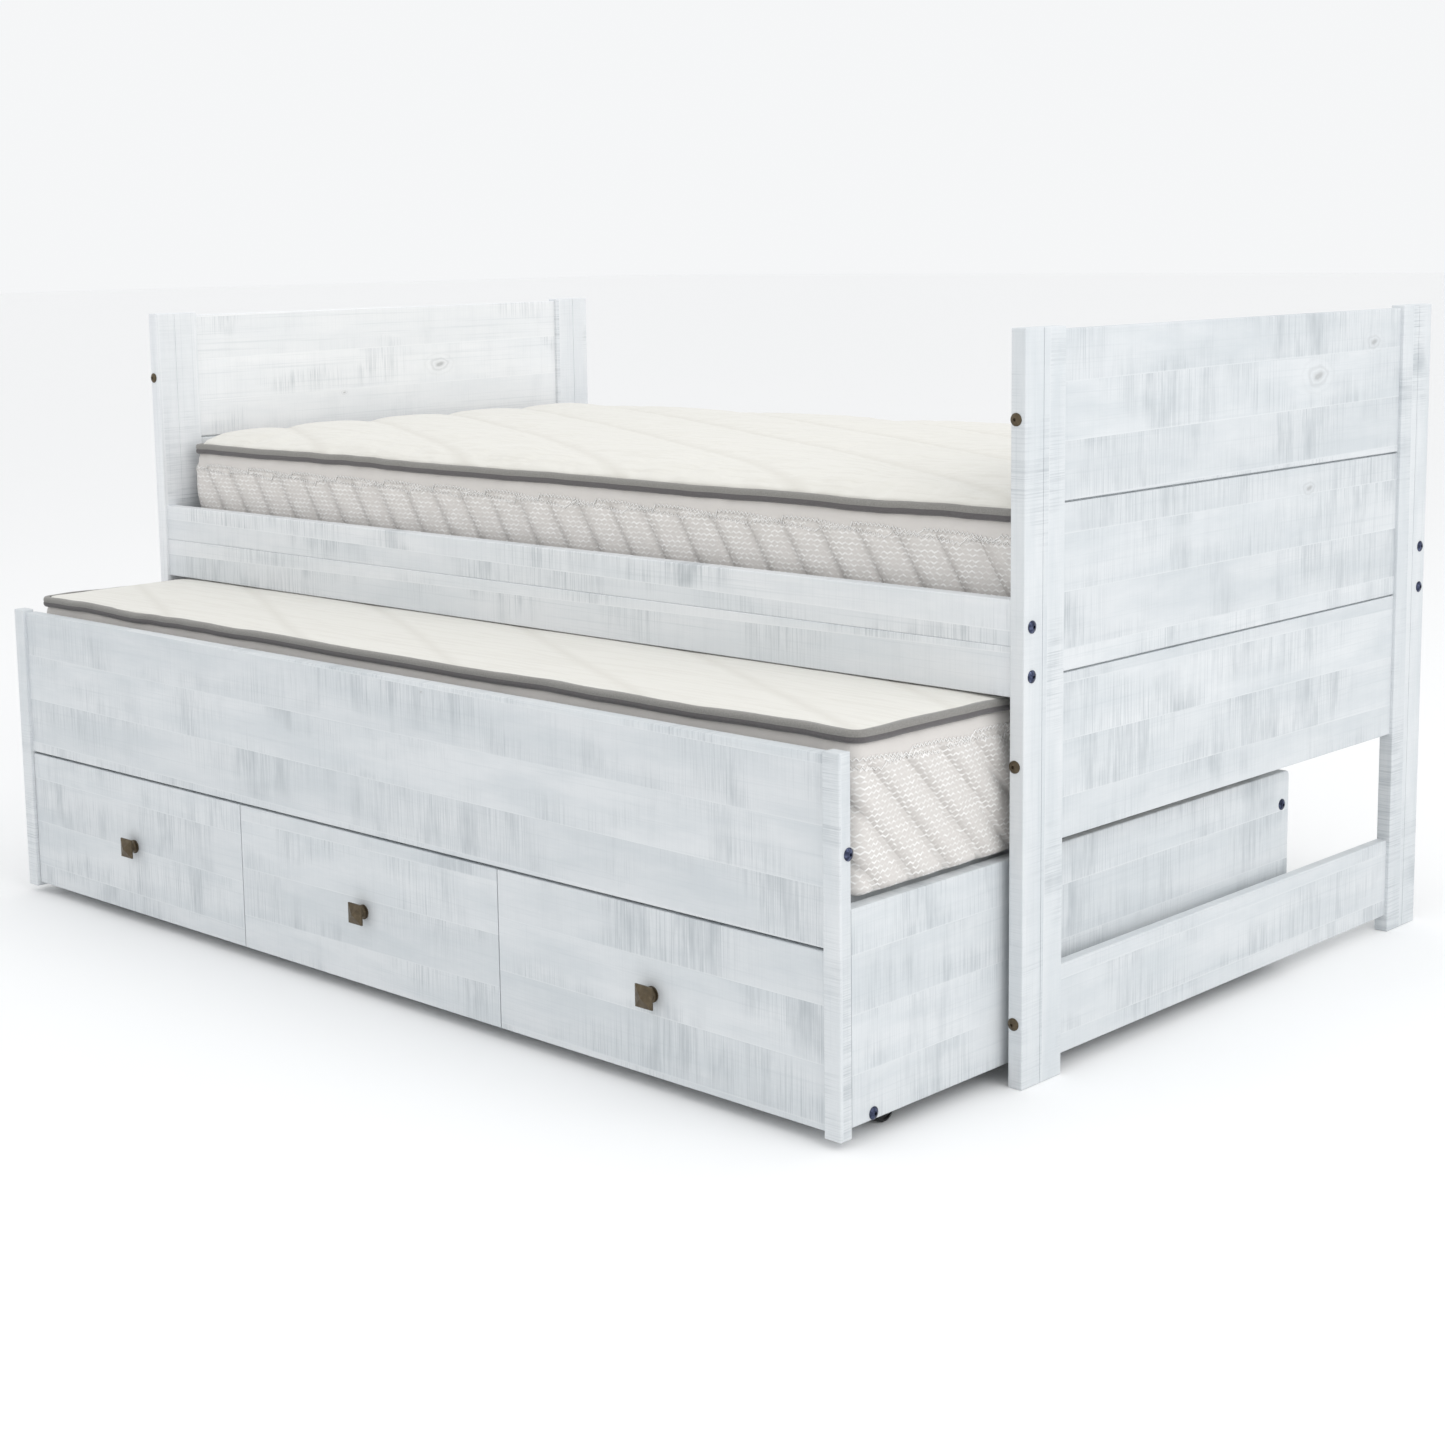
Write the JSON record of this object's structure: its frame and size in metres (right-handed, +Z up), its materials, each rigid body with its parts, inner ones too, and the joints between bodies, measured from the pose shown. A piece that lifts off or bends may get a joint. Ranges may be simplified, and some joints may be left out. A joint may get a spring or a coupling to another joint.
{
  "type": "trundle bed",
  "caption": "Panel-end single bed in whitewashed boards with a roll-out trundle beneath it that carries a second mattress and a row of drawers.",
  "frame": {"origin": "on the floor under the middle of the whole object, with the trundle standing out as it does at rest", "axes": "+X along the bed towards the right end seen from the front, +Y from the trundle's front towards the back of the bed, +Z up"},
  "size_m": [2.0126, 1.4616, 1.0297],
  "materials": {
    "wood": "satin",
    "inner_wood": "matte",
    "mattress": "matte",
    "bronze": "satin",
    "blued_steel": "gloss",
    "zinc_steel": "satin",
    "black_rubber": "matte",
    "black_plastic": "satin"
  },
  "bodies": {
    "bed": {"post_front_left": "wood", "post_front_right": "wood", "post_rear_left": "wood", "post_rear_right": "wood", "left_board_bottom": "wood", "left_board_middle": "wood", "left_board_top": "wood", "left_foot_rail": "wood", "right_board_bottom": "wood", "right_board_middle": "wood", "right_board_top": "wood", "right_foot_rail": "wood", "front_rail_lower": "wood", "front_rail_upper": "wood", "rear_rail_lower": "wood", "rear_rail_upper": "wood", "bed_ledgers": "inner_wood", "bed_slats": "inner_wood", "upper_mattress": "mattress", "trundle_stops": "black_rubber", "end_bolts": "bronze", "end_nuts": "zinc_steel", "rail_bolts": "blued_steel", "rail_nuts": "zinc_steel"},
    "trundle": {"trundle_post_left": "wood", "trundle_post_right": "wood", "trundle_front_panel": "wood", "trundle_side_left": "wood", "trundle_side_right": "wood", "trundle_back_board": "inner_wood", "front_stretcher": "inner_wood", "mid_rail": "inner_wood", "drawer_dividers": "inner_wood", "drawer_runners": "inner_wood", "trundle_cleats": "inner_wood", "trundle_slats": "inner_wood", "trundle_mattress": "mattress", "trundle_bolts": "blued_steel", "trundle_nuts": "zinc_steel", "caster_brackets": "zinc_steel", "caster_axles": "zinc_steel"},
    "left_drawer": {"left_drawer_front": "wood", "left_drawer_box": "inner_wood", "left_drawer_bottom": "inner_wood", "left_drawer_knob": "bronze", "left_drawer_screw": "zinc_steel"},
    "middle_drawer": {"middle_drawer_front": "wood", "middle_drawer_box": "inner_wood", "middle_drawer_bottom": "inner_wood", "middle_drawer_knob": "bronze", "middle_drawer_screw": "zinc_steel"},
    "right_drawer": {"right_drawer_front": "wood", "right_drawer_box": "inner_wood", "right_drawer_bottom": "inner_wood", "right_drawer_knob": "bronze", "right_drawer_screw": "zinc_steel"},
    "caster_front_left": {"wheel_front_left": "black_plastic"},
    "caster_front_right": {"wheel_front_right": "black_plastic"},
    "caster_rear_left": {"wheel_rear_left": "black_plastic"},
    "caster_rear_right": {"wheel_rear_right": "black_plastic"}
  },
  "joints": [
    {"name": "trundle_slide", "type": "slide", "parent": "bed", "child": "trundle", "axis": [0, -1, 0], "range_m": [-0.3347, 0.65]},
    {"name": "left_drawer_slide", "type": "slide", "parent": "trundle", "child": "left_drawer", "axis": [0, -1, 0], "range_m": [0, 0.33]},
    {"name": "middle_drawer_slide", "type": "slide", "parent": "trundle", "child": "middle_drawer", "axis": [0, -1, 0], "range_m": [0, 0.33]},
    {"name": "right_drawer_slide", "type": "slide", "parent": "trundle", "child": "right_drawer", "axis": [0, -1, 0], "range_m": [0, 0.33]},
    {"name": "caster_front_left_roll", "type": "hinge", "parent": "trundle", "child": "caster_front_left", "pos_m": [-0.9299, -0.591, 0.02], "axis": [1, 0, 0], "continuous": true},
    {"name": "caster_front_right_roll", "type": "hinge", "parent": "trundle", "child": "caster_front_right", "pos_m": [0.9299, -0.591, 0.02], "axis": [1, 0, 0], "continuous": true},
    {"name": "caster_rear_left_roll", "type": "hinge", "parent": "trundle", "child": "caster_rear_left", "pos_m": [-0.9299, 0.2767, 0.02], "axis": [1, 0, 0], "continuous": true},
    {"name": "caster_rear_right_roll", "type": "hinge", "parent": "trundle", "child": "caster_rear_right", "pos_m": [0.9299, 0.2767, 0.02], "axis": [1, 0, 0], "continuous": true}
  ],
  "couplings": [
    {"joint": "caster_front_left_roll", "follows": "trundle_slide", "rad_per_m": 50},
    {"joint": "caster_front_right_roll", "follows": "trundle_slide", "rad_per_m": 50},
    {"joint": "caster_rear_left_roll", "follows": "trundle_slide", "rad_per_m": 50},
    {"joint": "caster_rear_right_roll", "follows": "trundle_slide", "rad_per_m": 50}
  ]
}
